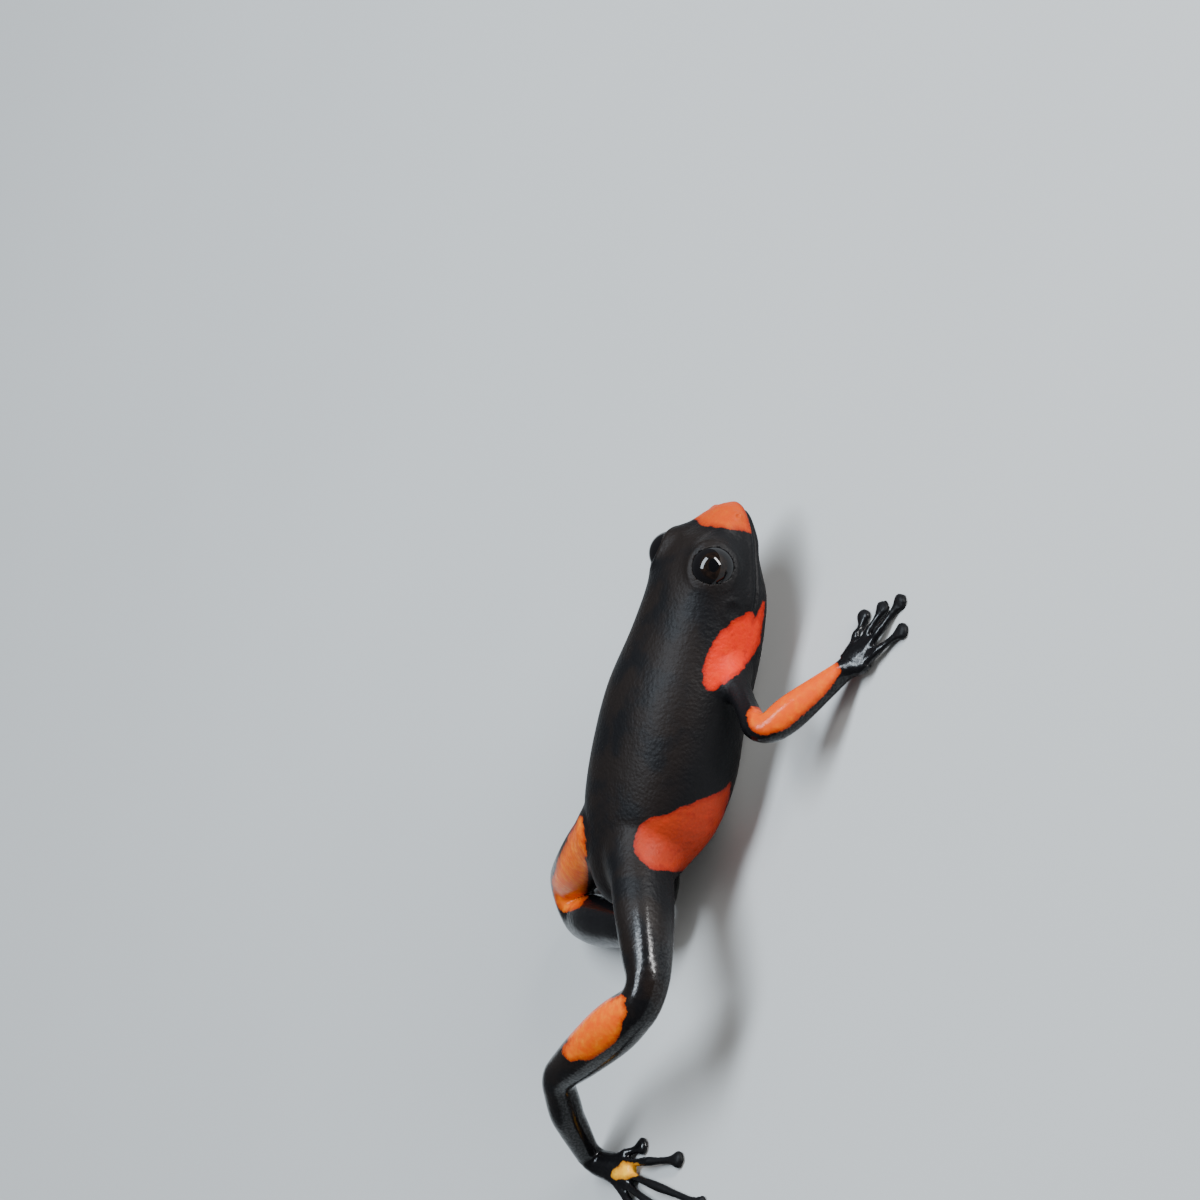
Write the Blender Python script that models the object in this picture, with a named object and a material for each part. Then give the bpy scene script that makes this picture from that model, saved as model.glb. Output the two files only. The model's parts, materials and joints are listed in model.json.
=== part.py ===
# Harlequin poison frog, a still model at life size, parted where a person would name its parts.
# It faces -Y, its left side is +X, and its hands and feet rest on the floor at z = 0.
# Lengths are in millimetres until the last step, which scales every mesh to metres.

import math

import bmesh
import bpy
from mathutils import Quaternion, Vector

MM = 0.001
GAP = 0.3                   # between two nodes that meet face to face

# Driving sizes of the trunk and head, along the body: how far ahead of the belly's middle, half the width,
# half the height, and the height of the middle above the floor.
TRUNK = [
    (-15.2, 4.2, 3.7, 7.2),
    (-10.0, 5.35, 4.35, 6.65),
    (-6.5, 6.7, 5.2, 6.35),
    (-2.0, 7.2, 5.65, 6.35),
    (3.0, 6.9, 5.5, 6.65),
    (8.0, 6.2, 5.2, 6.35),
    (11.0, 5.85, 4.95, 6.35),
    (14.0, 5.55, 4.5, 6.6),
    (17.0, 4.4, 3.25, 6.85),
    (18.4, 3.5, 2.5, 6.4),
    (19.6, 2.9, 2.15, 6.35),
    (21.0, 2.4, 1.9, 6.2),
]
RUMP_ROUNDS_FROM = -8.0
SNOUT_ROUNDS_FROM = 18.0
SQUARENESS = 2.25           # 2 is an ellipse, more is boxier
NECK = 8.65                 # the cut between torso and head
TRUNK_SIDES = 28
EYE_SIDES = 20
SOCKET_SIDES = 28

# Eyes: a ball sunk to about half in the side of the head, in a raised rim of lids.
EYE_PLACE = (15.3, 3.5, 8.9)
EYE_RADIUS = 1.95
EYE_LOOKS = (0.2, 0.8, 0.56)        # ahead, outward, up
LID_THICK = 0.4
LID_RISE = -0.15                    # how far the rim comes out past the ball's middle
UPPER_LID_TILT = 0.12               # the rim reaches further over the top of the ball

NOSTRIL_TURN = 17                   # degrees from straight ahead, seen from above
NOSTRIL_HEIGHT = 6.9
NOSTRIL_RADIUS = 0.32
MOUTH_CORNER_TURN = 108
TURNS_FROM = 14.0                   # the place on the mid line that these turns are measured from
MOUTH_FRONT_HEIGHT = 5.6
MOUTH_CORNER_HEIGHT = 5.1
MOUTH_GROOVE = 0.2
LIP_ABOVE_MOUTH = 0.42
LIP_RADIUS = 0.34
LIP_SUNK = 0.16

# Joints, as ahead, right, up. The right side is the photographed one; the left is folded under the body.
LEGS = {
    "right": {"hip": (-10.0, 3.0, 8.2), "knee": (-20.4, 11.5, 9.7), "heel": (-30.9, 0.5, 8.6),
              "instep": (-34.3, -1.1, 5.7), "foot": (-37.8, -1.8, 1.5), "sole": (-37.6, 3.0, 0.6)},
    "left": {"hip": (-9.6, -3.3, 7.9), "knee": (-16.8, -12.2, 2.95), "heel": (-15.8, -0.3, 3.6),
             "instep": (-12.2, -2.8, 1.5), "foot": (-9.2, -7.0, 1.3), "sole": (-8.8, -9.4, 0.6)},
}
ARMS = {
    "right": {"shoulder": (7.2, 5.2, 5.6), "elbow": (3.7, 12.8, 6.0), "wrist": (10.2, 15.4, 1.4),
              "palm": (12.6, 17.2, 0.6)},
    "left": {"shoulder": (7.2, -4.2, 5.6), "elbow": (3.2, -10.8, 5.2), "wrist": (10.2, -12.0, 1.4),
             "palm": (13.0, -12.6, 0.6)},
}
ARC_STEPS = 16
BENDS = {"knee": 2.5, "heel": 2.0, "instep": 5.0, "elbow": 1.6, "foot": 1.3, "wrist": 1.2}
WIDER_BENDS = {"right": {"heel": 3.2}, "left": {}}

# Half thickness at each share of the way along a limb's own length: share, half width, half height.
THIGH = [(0.0, 2.8, 2.8), (0.35, 2.65, 2.65), (0.7, 2.3, 2.25), (1.0, 1.85, 1.8)]
SHANK = [(0.0, 1.85, 1.8), (0.35, 2.3, 2.25), (0.7, 2.0, 1.95), (1.0, 1.5, 1.45)]
TARSUS = [(0.0, 1.5, 1.45), (0.4, 1.55, 1.5), (1.0, 1.2, 1.05)]
SOLE = [(0.0, 1.0, 0.9), (0.5, 1.3, 0.85), (1.0, 1.4, 0.75)]
UPPER_ARM = [(0.0, 1.4, 1.4), (0.5, 1.0, 1.0), (1.0, 1.25, 1.25)]
FOREARM = [(0.0, 1.3, 1.3), (0.3, 1.55, 1.5), (0.8, 1.15, 1.1), (1.0, 0.95, 0.95)]
PALM = [(0.0, 0.9, 0.9), (0.5, 1.45, 0.85), (1.0, 1.65, 0.75)]

# Where each finger and toe ends on the floor, as ahead, right, from the inner one out.
FINGERTIPS = {
    "right": [(15.4, 14.4), (16.7, 17.0), (17.6, 19.3), (15.2, 20.9)],
    "left": [(15.2, -9.4), (17.5, -11.2), (18.0, -14.2), (15.0, -16.8)],
}
TOETIPS = {
    "right": [(-34.6, 3.9), (-34.3, 9.8), (-37.0, 14.9), (-39.9, 15.6), (-41.6, 9.2)],
    "left": [(-5.0, -9.6), (-4.6, -12.9), (-6.6, -16.2), (-11.0, -18.4), (-13.0, -14.2)],
}
# Where each one leaves its pad: how far back from the pad's front end, and how far out from its middle line.
FINGER_ROOTS = [(1.5, -1.3), (0.9, -0.5), (0.9, 0.5), (1.5, 1.3)]
TOE_ROOTS = [(2.3, -1.0), (0.9, -0.8), (0.8, 0.1), (1.1, 1.0), (2.3, 1.05)]
DIGIT_RADIUS = 0.4
DIGIT_ROOT_RADIUS = 0.33
DISC_HALF_WIDTH = 0.82
DISC_LENGTH = 1.5
DISC_HALF_HEIGHT = 0.36
KNUCKLE_RISE = 0.75
FLOOR_SUNK = 0.12                   # the flat that is cut under each disc and pad

BLACK = ((0.012, 0.011, 0.014), 0.28)
ORANGE = ((0.86, 0.16, 0.02), 0.3)
EYE_BLACK = ((0.004, 0.004, 0.005), 0.06)


def spot(ahead, right, up):
    return Vector((-right, -ahead, up))


def smoothly(table, at):
    """The table's values at a place along its first column, on a smooth curve through its rows."""
    rows = [tuple(float(value) for value in row) for row in table]
    at = min(max(at, rows[0][0]), rows[-1][0])
    last = len(rows) - 2
    i = next((k for k in range(last + 1) if at <= rows[k + 1][0]), last)
    left, right = rows[i], rows[i + 1]
    span = right[0] - left[0]
    t = (at - left[0]) / span
    before, after = rows[max(i - 1, 0)], rows[min(i + 2, len(rows) - 1)]
    values = []
    for k in range(1, len(left)):
        slope_left = (right[k] - before[k]) / (right[0] - before[0])
        slope_right = (after[k] - left[k]) / (after[0] - left[0])
        values.append((2 * t**3 - 3 * t**2 + 1) * left[k] + (t**3 - 2 * t**2 + t) * span * slope_left
                      + (3 * t**2 - 2 * t**3) * right[k] + (t**3 - t**2) * span * slope_right)
    return values


def trunk_section(ahead, grow=0.0):
    """Half width, half height and middle height of the trunk at a place along it."""
    half_width, half_height, middle = smoothly(TRUNK, ahead)
    rump_end, snout_end = TRUNK[0][0] - grow, TRUNK[-1][0] + grow
    share = 1.0
    if ahead < RUMP_ROUNDS_FROM:
        share = (RUMP_ROUNDS_FROM - ahead) / (RUMP_ROUNDS_FROM - rump_end)
        share = math.sqrt(max(1 - share**2, 0))
    elif ahead > SNOUT_ROUNDS_FROM:
        share = (ahead - SNOUT_ROUNDS_FROM) / (snout_end - SNOUT_ROUNDS_FROM)
        share = math.sqrt(max(1 - share**2, 0))
    return (half_width + grow) * share, (half_height + grow) * share, middle


def trunk_ring(ahead, grow=0.0):
    half_width, half_height, middle = trunk_section(ahead, grow)
    power = 2 / SQUARENESS
    ring = []
    for k in range(TRUNK_SIDES):
        turn = 2 * math.pi * k / TRUNK_SIDES
        across, rise = math.cos(turn), math.sin(turn)
        ring.append(spot(ahead, half_width * math.copysign(abs(across)**power, across),
                         middle + half_height * math.copysign(abs(rise)**power, rise)))
    return ring


def trunk_surface(ahead_from, toward_ahead, toward_right, up):
    """The point where a level line from the trunk's mid plane leaves its surface."""
    near, far = 0.0, 30.0
    for _ in range(40):
        reach = (near + far) / 2
        ahead, right = ahead_from + toward_ahead * reach, toward_right * reach
        half_width, half_height, middle = trunk_section(ahead)
        inside = (TRUNK[0][0] < ahead < TRUNK[-1][0] and half_width > 0.01
                  and (abs(right) / half_width)**SQUARENESS
                  + (abs(up - middle) / half_height)**SQUARENESS < 1)
        near, far = (reach, far) if inside else (near, reach)
    return spot(ahead_from + toward_ahead * near, toward_right * near, up)


def loft(name, rings):
    """A closed mesh through rings of equal point counts, with a flat face at each end."""
    mesh = bmesh.new()
    loops = []
    for ring in rings:
        points = [mesh.verts.new(point) for point in ring]
        loops.append([mesh.edges.new((points[k - 1], points[k])) for k in range(len(points))])
    for first, second in zip(loops, loops[1:]):
        bmesh.ops.bridge_loops(mesh, edges=first + second)
    bmesh.ops.contextual_create(mesh, geom=loops[0])
    bmesh.ops.contextual_create(mesh, geom=loops[-1])
    bmesh.ops.recalc_face_normals(mesh, faces=mesh.faces)
    return finished(name, mesh)


def finished(name, mesh):
    data = bpy.data.meshes.new(name)
    mesh.to_mesh(data)
    mesh.free()
    piece = bpy.data.objects.new(name, data)
    bpy.context.scene.collection.objects.link(piece)
    return piece


def ball(name, centre, radius, segments=24):
    mesh = bmesh.new()
    bmesh.ops.create_uvsphere(mesh, u_segments=segments, v_segments=segments // 2, radius=radius)
    bmesh.ops.translate(mesh, verts=mesh.verts, vec=centre)
    return finished(name, mesh)


def discard(piece):
    data = piece.data
    bpy.data.objects.remove(piece)
    bpy.data.meshes.remove(data)


def boolean(piece, others, operation):
    """Joins meshes to a piece or cuts them out of it, and removes them."""
    group = bpy.data.collections.new("tools")
    for other in others:
        group.objects.link(other)
    step = piece.modifiers.new("boolean", "BOOLEAN")
    step.operation = operation
    step.operand_type = "COLLECTION"
    step.collection = group
    step.solver = "EXACT"
    applied(piece)
    for other in others:
        discard(other)
    bpy.data.collections.remove(group)
    keep_largest(piece)


def applied(piece):
    evaluated = piece.evaluated_get(bpy.context.evaluated_depsgraph_get())
    data = bpy.data.meshes.new_from_object(evaluated)
    old = piece.data
    piece.modifiers.clear()
    piece.data = data
    bpy.data.meshes.remove(old)


def keep_largest(piece):
    """Leaves only the largest of the piece's closed surfaces."""
    mesh = bmesh.new()
    mesh.from_mesh(piece.data)
    bmesh.ops.remove_doubles(mesh, verts=mesh.verts, dist=0.002)
    bmesh.ops.dissolve_degenerate(mesh, edges=mesh.edges, dist=0.002)
    islands, seen = [], set()
    for start in mesh.faces:
        if start in seen:
            continue
        island, edge_of_search = [], [start]
        seen.add(start)
        while edge_of_search:
            face = edge_of_search.pop()
            island.append(face)
            for edge in face.edges:
                for near in edge.link_faces:
                    if near not in seen:
                        seen.add(near)
                        edge_of_search.append(near)
        islands.append(island)
    largest = max(islands, key=lambda faces: sum(face.calc_area() for face in faces))
    kept = set(largest)
    bmesh.ops.delete(mesh, geom=[face for face in mesh.faces if face not in kept], context="FACES")
    mesh.to_mesh(piece.data)
    mesh.free()


def corners_for(stops, radii):
    """The sharp corners whose rounded path passes through the stops."""
    corners = list(stops)
    for _ in range(12):
        for k, radius in enumerate(radii, 1):
            back = (corners[k - 1] - corners[k]).normalized()
            forth = (corners[k + 1] - corners[k]).normalized()
            half = back.angle(forth) / 2
            corners[k] = stops[k] - (back + forth).normalized() * (radius / math.sin(half) - radius)
    return corners


class Route:
    """A path through its stops, rounded at each inner one to its own radius."""

    def __init__(self, stops, radii):
        corners = corners_for(stops, radii)
        self.points = [corners[0]]
        self.joints = []
        for before, corner, after, radius in zip(corners, corners[1:], corners[2:], radii):
            back, forth = (before - corner).normalized(), (after - corner).normalized()
            half = back.angle(forth) / 2
            room = 0.45 * min((before - corner).length, (after - corner).length)
            reach = min(radius / math.tan(half), room)
            start, end = corner + back * reach, corner + forth * reach
            centre = corner + (back + forth).normalized() * (reach / math.cos(half))
            turn = (start - centre).rotation_difference(end - centre)
            for k in range(ARC_STEPS + 1):
                part_turn = Quaternion().slerp(turn, k / ARC_STEPS)
                self.points.append(centre + part_turn @ (start - centre))
            self.joints.append(len(self.points) - 1 - ARC_STEPS // 2)
        self.points.append(corners[-1])
        self.lengths = [0.0]
        for first, second in zip(self.points, self.points[1:]):
            self.lengths.append(self.lengths[-1] + (second - first).length)
        self.joints = [self.lengths[k] for k in self.joints]
        self.whole = self.lengths[-1]

    def at(self, length):
        length = min(max(length, 0.0), self.whole)
        last = len(self.points) - 1
        i = next(k for k in range(1, last + 1) if length <= self.lengths[k] or k == last)
        share = (length - self.lengths[i - 1]) / max(self.lengths[i] - self.lengths[i - 1], 1e-9)
        return self.points[i - 1].lerp(self.points[i], share)

    def heading(self, length):
        return (self.at(length + 0.35) - self.at(length - 0.35)).normalized()


def section_ring(centre, heading, half_width, half_height, sides):
    across = heading.cross(Vector((0, 0, 1))).normalized()
    rise = across.cross(heading).normalized()
    return [centre + across * (half_width * math.cos(2 * math.pi * k / sides))
            + rise * (half_height * math.sin(2 * math.pi * k / sides)) for k in range(sides)]


def sweep(name, route, start, end, girth, sides, rings, grow=0.0, round_end=0.0):
    """A tube along part of a route, as thick as its girth table says."""
    loops = []
    for k in range(rings + 1):
        share = k / rings
        if round_end:
            share = 1 - (1 - share)**1.5
        length = start + (end - start) * share
        half_width, half_height = smoothly(girth, (length - start) / (end - start))
        left = end - length
        tip = 1.0
        if round_end and left < round_end:
            tip = math.sqrt(max(1 - (1 - left / round_end)**2, 0.05))
        loops.append(section_ring(route.at(length), route.heading(length),
                                  half_width * tip + grow, half_height * tip + grow, sides))
    return loft(name, loops)


def floor_block():
    mesh = bmesh.new()
    bmesh.ops.create_cube(mesh, size=1)
    bmesh.ops.scale(mesh, verts=mesh.verts, vec=(200, 200, 20))
    bmesh.ops.translate(mesh, verts=mesh.verts, vec=(0, 0, -10))
    return finished("floor_block", mesh)


def coloured(piece, look):
    colour, roughness = look
    material = bpy.data.materials.new(piece.name)
    material.use_nodes = True
    shader = material.node_tree.nodes["Principled BSDF"]
    shader.inputs["Base Color"].default_value = (*colour, 1)
    shader.inputs["Roughness"].default_value = roughness
    shader.inputs["Metallic"].default_value = 0.0
    piece.data.materials.clear()
    piece.data.materials.append(material)
    return piece


def spread(start, end, count):
    return [start + (end - start) * k / count for k in range(count + 1)]


def rounded_spread(start, end, count):
    """Places that crowd together toward the end, for a round tip."""
    return [start + (end - start) * math.sin(math.pi / 2 * k / count) for k in range(count + 1)]


def torso_mesh(name, grow=0.0):
    tip = TRUNK[0][0] - grow + 0.02
    rump = rounded_spread(RUMP_ROUNDS_FROM, tip, 6)[::-1]
    places = rump + spread(RUMP_ROUNDS_FROM, NECK - GAP / 2 + grow, 8)[1:]
    return loft(name, [trunk_ring(place, grow) for place in places])


def head_mesh(name):
    tip = TRUNK[-1][0] - 0.02
    places = spread(NECK + GAP / 2, SNOUT_ROUNDS_FROM, 5) + rounded_spread(SNOUT_ROUNDS_FROM, tip, 7)[1:]
    return loft(name, [trunk_ring(place) for place in places])


def eye_centre(side):
    ahead, out, up = EYE_PLACE
    return spot(ahead, out * side, up)


def lid_rim(side):
    """A ball around the eye, cut off by a plane so that it covers more of the eye's top than of its foot."""
    ahead, out, up = EYE_LOOKS
    looks = spot(ahead, out * side, up).normalized()
    cut = (looks - Vector((0, 0, UPPER_LID_TILT))).normalized()
    rim = ball("lids", eye_centre(side), EYE_RADIUS + GAP + LID_THICK, SOCKET_SIDES)
    mesh = bmesh.new()
    mesh.from_mesh(rim.data)
    bmesh.ops.bisect_plane(mesh, geom=mesh.verts[:] + mesh.edges[:] + mesh.faces[:],
                           plane_co=eye_centre(side) + looks * LID_RISE, plane_no=cut, clear_outer=True)
    bmesh.ops.holes_fill(mesh, edges=[edge for edge in mesh.edges if edge.is_boundary])
    bmesh.ops.recalc_face_normals(mesh, faces=mesh.faces)
    mesh.to_mesh(rim.data)
    mesh.free()
    return rim


def around_snout(turn, up):
    return trunk_surface(TURNS_FROM, math.cos(turn), math.sin(turn), up)


def mouth_height(turn):
    share = min(abs(turn) / math.radians(MOUTH_CORNER_TURN), 1)
    return MOUTH_FRONT_HEIGHT + (MOUTH_CORNER_HEIGHT - MOUTH_FRONT_HEIGHT) * share


def mouth_tube(name, raised, radius, sunk):
    """A thin tube round the snout along the line of the mouth."""
    turns = spread(-math.radians(MOUTH_CORNER_TURN), math.radians(MOUTH_CORNER_TURN), 36)
    rings = []
    for turn in turns:
        point = around_snout(turn, mouth_height(turn) + raised)
        later = around_snout(turn + 0.02, mouth_height(turn + 0.02) + raised)
        heading = (later - point).normalized()
        out = heading.cross(Vector((0, 0, -1))).normalized()
        fade = math.sqrt(max(1 - (turn / turns[-1])**8, 0.06))
        rings.append(section_ring(point - out * sunk, heading, radius * fade, radius * fade, 6))
    return loft(name, rings)


def build_head():
    head = head_mesh("head")
    raised = [lid_rim(1), lid_rim(-1), mouth_tube("upper_lip", LIP_ABOVE_MOUTH, LIP_RADIUS, LIP_SUNK)]
    boolean(head, raised, "UNION")
    sockets = [ball("socket", eye_centre(side), EYE_RADIUS + GAP, SOCKET_SIDES) for side in (1, -1)]
    turn = math.radians(NOSTRIL_TURN)
    nostrils = [ball("nostril", around_snout(turn * side, NOSTRIL_HEIGHT), NOSTRIL_RADIUS, 8)
                for side in (1, -1)]
    boolean(head, sockets + nostrils + [mouth_tube("mouth", 0.0, MOUTH_GROOVE, 0.0)], "DIFFERENCE")
    coloured(head, BLACK)
    for name, side in (("eye_right", 1), ("eye_left", -1)):
        coloured(ball(name, eye_centre(side), EYE_RADIUS, EYE_SIDES), EYE_BLACK)


def digit(name, root, tip, pad, look):
    """A finger or toe from inside its palm or sole out to a wide flat disc on the floor."""
    floor_tip = spot(*tip, DISC_HALF_HEIGHT - FLOOR_SUNK)
    level = floor_tip - root
    level.z = 0
    disc_length = min(DISC_LENGTH, 0.45 * level.length)
    knuckle = root.lerp(floor_tip, 0.35)
    knuckle.z = KNUCKLE_RISE
    disc_start = floor_tip - level.normalized() * disc_length
    disc_start.z = DISC_HALF_HEIGHT - FLOOR_SUNK + 0.1
    bend = 0.2 * level.length
    route = Route([root, knuckle, disc_start, floor_tip], [bend, bend])
    disc_share = 1 - disc_length / route.whole
    girth = [
        (0.0, DIGIT_ROOT_RADIUS, DIGIT_ROOT_RADIUS),
        (disc_share * 0.5, DIGIT_RADIUS, DIGIT_RADIUS),
        (disc_share * 0.92, DIGIT_RADIUS * 0.9, DIGIT_RADIUS * 0.9),
        (disc_share + (1 - disc_share) * 0.55, DISC_HALF_WIDTH, DISC_HALF_HEIGHT),
        (1.0, DISC_HALF_WIDTH, DISC_HALF_HEIGHT),
    ]
    piece = sweep(name, route, 0, route.whole, girth, 8, 12, round_end=DISC_HALF_WIDTH)
    boolean(piece, [pad, floor_block()], "DIFFERENCE")
    return coloured(piece, look)


def build_limb(names, stops, girths, digits, side, looks):
    """A limb as one rounded tube, parted at its joints, with a flat-soled pad and its digits."""
    inner = list(stops)[1:-1]
    bends = {**BENDS, **WIDER_BENDS[side]}
    route = Route([spot(*place) for place in stops.values()], [bends[name] for name in inner])
    cuts = [0.0] + [place for name, place in zip(inner, route.joints) if name != "instep"] + [route.whole]
    for k, (name, girth, look) in enumerate(zip(names, girths, looks)):
        start = cuts[k] + (GAP / 2 if k else 0)
        last = k == len(names) - 1
        end = cuts[k + 1] - (0 if last else GAP / 2)
        piece = sweep(name, route, start, end, girth, 12, 5 if last else 11, round_end=1.0 if last else 0.0)
        if k == 0:
            boolean(piece, [torso_mesh("torso_copy", GAP)], "DIFFERENCE")
        if last:
            boolean(piece, [floor_block()], "DIFFERENCE")
        coloured(piece, look)
    pad_start = cuts[-2] + GAP / 2
    kind, roots, tips = digits
    outward = 1 if side == "right" else -1
    for count, ((back, out), tip) in enumerate(zip(roots, tips), 1):
        root = route.at(route.whole - back)
        across = route.heading(route.whole - back).cross(Vector((0, 0, 1))).normalized()
        pad = sweep("pad", route, pad_start - 1.5, route.whole + GAP, girths[-1], 12, 5, GAP, 1.0)
        digit(f"{kind}_{side}_{count}", root + across * (out * outward), tip, pad, looks[-1])


def build_legs():
    for side, joints in LEGS.items():
        names = [f"thigh_{side}", f"shank_{side}", f"tarsus_{side}", f"foot_{side}"]
        build_limb(names, joints, [THIGH, SHANK, TARSUS, SOLE], ("toe", TOE_ROOTS, TOETIPS[side]),
                   side, [BLACK] * 4)


def build_arms():
    for side, joints in ARMS.items():
        names = [f"upper_arm_{side}", f"forearm_{side}", f"hand_{side}"]
        build_limb(names, joints, [UPPER_ARM, FOREARM, PALM], ("finger", FINGER_ROOTS, FINGERTIPS[side]),
                   side, [BLACK, ORANGE, BLACK])


def settle_in_metres():
    """Puts the middle of the whole model's floor box at the origin, in metres, and shades it smooth."""
    pieces = [piece for piece in bpy.data.objects if piece.type == "MESH"]
    points = [vertex.co for piece in pieces for vertex in piece.data.vertices]
    low = Vector([min(point[axis] for point in points) for axis in range(3)])
    high = Vector([max(point[axis] for point in points) for axis in range(3)])
    shift = Vector((-(low.x + high.x) / 2, -(low.y + high.y) / 2, -low.z))
    for piece in pieces:
        for vertex in piece.data.vertices:
            vertex.co = (vertex.co + shift) * MM
        piece.data.shade_smooth()
        piece.data.set_sharp_from_angle(angle=math.radians(50))


for old in list(bpy.data.objects):
    bpy.data.objects.remove(old)
coloured(torso_mesh("torso"), BLACK)
build_head()
build_legs()
build_arms()
settle_in_metres()
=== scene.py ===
import json
import math

import bmesh
import bpy
import numpy as np
import openvdb
from mathutils import Matrix, Quaternion, Vector


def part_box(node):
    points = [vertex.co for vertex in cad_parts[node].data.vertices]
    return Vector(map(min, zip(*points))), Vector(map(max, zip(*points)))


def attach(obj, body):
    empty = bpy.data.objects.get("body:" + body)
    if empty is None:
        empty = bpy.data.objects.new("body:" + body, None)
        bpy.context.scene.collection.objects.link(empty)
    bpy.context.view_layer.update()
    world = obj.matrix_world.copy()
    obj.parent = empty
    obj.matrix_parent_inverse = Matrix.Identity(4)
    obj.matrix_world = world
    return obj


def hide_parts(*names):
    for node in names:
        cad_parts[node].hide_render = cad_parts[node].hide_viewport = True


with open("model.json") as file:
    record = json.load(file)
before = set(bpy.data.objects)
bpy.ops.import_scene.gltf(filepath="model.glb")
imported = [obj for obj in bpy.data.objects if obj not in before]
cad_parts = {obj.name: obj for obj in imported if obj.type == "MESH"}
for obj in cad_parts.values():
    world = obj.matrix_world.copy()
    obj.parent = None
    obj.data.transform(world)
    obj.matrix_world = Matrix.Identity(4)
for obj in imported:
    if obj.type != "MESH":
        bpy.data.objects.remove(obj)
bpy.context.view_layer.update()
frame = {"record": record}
mm = 0.001

# Places on the frog are (ahead, right, up) in mm from the floor under the belly's middle.
# In the scene it faces -Y and its left side is +X. The shapes are those of the part's solids.

photoView = {
    "right": (0.261, 0.523, -0.811),    # the photograph's axes in the frog's own directions
    "up": (0.961, -0.216, 0.170),
    "toward": (0.087, 0.824, 0.559),
    "distance": 450.0,                  # mm from the floor point to the lens
    "pixelOfFloorPoint": (730, 750),    # in a frame of 1200 x 1200
    "pixelsPerUnit": 5175.0,
    "sensor": 36.0,
}

skin = {
    "step": 0.216,                      # size of the mesh's squares, mm
    "quickStep": 0.3,
    "fineStep": 0.08,                   # for the head, where the mesh is divided again
    "fineFrom": 11.3,
    "low": (-43.0, -22.0, -0.7),
    "high": (23.0, 24.0, 13.4),
    "far": 5.0,
    "blend": {"arm": 1.5, "leg": 2.0},  # how softly a limb runs into the body, and how far from its root
    "blendReach": {"arm": 4.0, "leg": 6.0},
    "digitBlend": 0.45,
    "touchBlend": 0.06,
    "floorBlend": 0.15,
    "limbMargin": 0.8,                  # how far round a limb its distances are worked out
    "digitMargin": 1.6,
    "leastSlope": 0.03,
    "shortEdge": 0.12,                  # edges shorter than this aren't divided again
    "mostMoved": {"body": 0.15, "head": 0.25},
}

# Along the body: how far ahead, half width, half height, height of the middle.
trunk = {
    "rows": [
        (-15.2, 4.2, 3.7, 7.2), (-10.0, 5.35, 4.35, 6.65), (-6.5, 6.7, 5.2, 6.35), (-2.0, 7.2, 5.65, 6.35),
        (3.0, 6.9, 5.5, 6.65), (8.0, 6.2, 5.2, 6.35), (11.0, 5.85, 4.95, 6.35), (14.0, 5.55, 4.5, 6.6),
        (17.0, 4.4, 3.25, 6.85), (18.4, 3.5, 2.5, 6.4), (19.6, 2.9, 2.15, 6.35), (21.0, 2.4, 1.9, 6.2),
    ],
    "rumpRoundsFrom": -8.0,
    "snoutRoundsFrom": 18.0,
    "squareness": 2.25,
}

head = {
    "eyePlace": (15.3, 3.5, 8.9),
    "eyeRadius": 1.95,
    "eyeSunk": 0.09,                    # how far the skin runs into the ball, so that no gap shows
    "eyeLooks": (0.2, 0.8, 0.56),
    "lidThick": 0.28,
    "lidRise": 0.5,
    "lidTilt": -0.1,
    "lidEdge": 0.25,                    # how round the lids' rim is, and how softly they join the head
    "lidBlend": 0.5,
    "socketBlend": 0.06,
    "box": [(7, -8, 0), (23, 8, 13.4)],
    "turnsFrom": 14.0,
    "mouthCorner": 108.0,
    "mouthFront": 5.6,
    "mouthBack": 5.1,
    "mouthFade": 9.0,                   # how abruptly the mouth ends at its corners
    "groove": (0.2, 0.19),              # depth and half width
    "lips": [(0.13, 0.5, 0.32), (0.07, -0.45, 0.3)],    # rise, height over the groove, half width
    "nostrilTurn": 17.0,
    "nostrilHeight": 6.9,
    "swelling": {"at": (-0.12, -0.12, -0.08), "radii": (0.36, 0.34, 0.3), "blend": 0.5},
    "pit": {"at": (0.05, 0.22, 0.05), "radii": (0.2, 0.16, 0.17), "blend": 0.14},
    "ridge": {"start": (1.3, -0.9, 0.6), "end": (-0.6, -0.35, -0.45), "radii": (0.75, 0.25), "blend": 1.0},
    "brow": {"at": (-0.2, 0.0, -0.1), "back": 0.75, "radii": (2.55, 2.15, 2.15), "blend": 1.1},
    "drum": (12.3, 5.3, 7.3),           # middle of the eardrum
    "drumRadius": 0.85,
    "drumRing": (0.07, 0.17),           # rise and half width
    "drumDepth": 0.12,
}

legs = {
    "right": {"hip": (-10.0, 3.0, 8.2), "knee": (-20.4, 11.5, 9.7), "heel": (-30.9, 0.5, 8.6),
              "instep": (-34.3, -1.1, 5.7), "foot": (-37.8, -1.8, 1.5), "sole": (-37.6, 3.0, 0.6)},
    "left": {"hip": (-9.6, -3.3, 7.9), "knee": (-16.8, -12.2, 2.95), "heel": (-15.8, -0.3, 3.6),
             "instep": (-12.2, -2.8, 1.5), "foot": (-9.2, -7.0, 1.3), "sole": (-8.8, -9.4, 0.6)},
}
arms = {
    "right": {"shoulder": (7.2, 5.2, 5.6), "elbow": (3.7, 12.8, 6.0), "wrist": (10.2, 15.4, 1.4),
              "palm": (12.6, 17.2, 0.6)},
    "left": {"shoulder": (7.2, -4.2, 5.6), "elbow": (3.2, -10.8, 5.2), "wrist": (10.2, -12.0, 1.4),
             "palm": (13.0, -12.6, 0.6)},
}
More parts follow.
